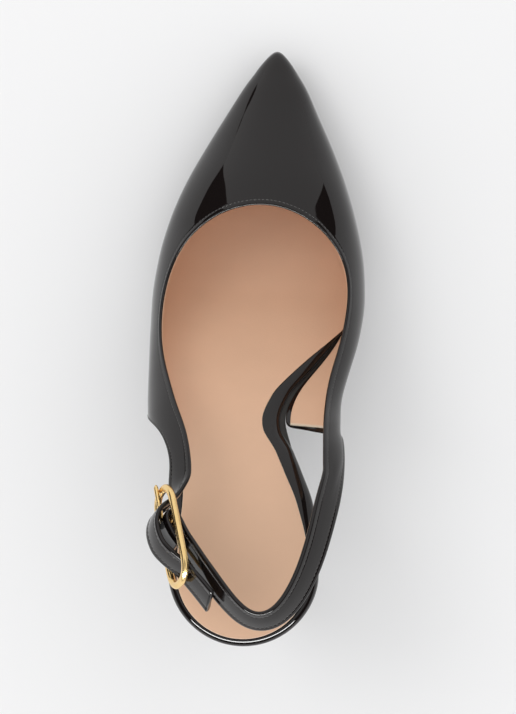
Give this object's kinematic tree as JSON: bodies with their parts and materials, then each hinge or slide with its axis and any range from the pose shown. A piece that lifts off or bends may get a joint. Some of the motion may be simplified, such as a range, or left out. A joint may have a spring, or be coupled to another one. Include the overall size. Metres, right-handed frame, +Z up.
{
  "type": "slingback pump",
  "caption": "Pointed slingback pump for the left foot, with a high slim heel, a cut-away shank and a sling strap fastened by a centre-bar buckle.",
  "frame": {"origin": "on the floor under the middle of the shoe's bounding box", "axes": "+Z up, +Y towards the toe, +X towards the inner side of the foot"},
  "size_m": [0.0845, 0.23, 0.1273],
  "materials": {
    "patent": "black patent leather, mirror gloss under a clear coat",
    "sock_leather": "tan lining leather, fine grain, satin",
    "sole": "black outsole, satin",
    "tip_rubber": "hard black rubber, matt",
    "gold": "pale gold plate, softly polished"
  },
  "bodies": {
    "root": {"outsole": "sole", "heel": "patent", "top_piece": "tip_rubber", "insole": "patent", "sock": "sock_leather", "upper": "patent", "sling_strap": "patent", "buckle_strap": "patent", "buckle_frame": "gold", "buckle_bar": "gold", "prong": "gold"}
  },
  "joints": []
}
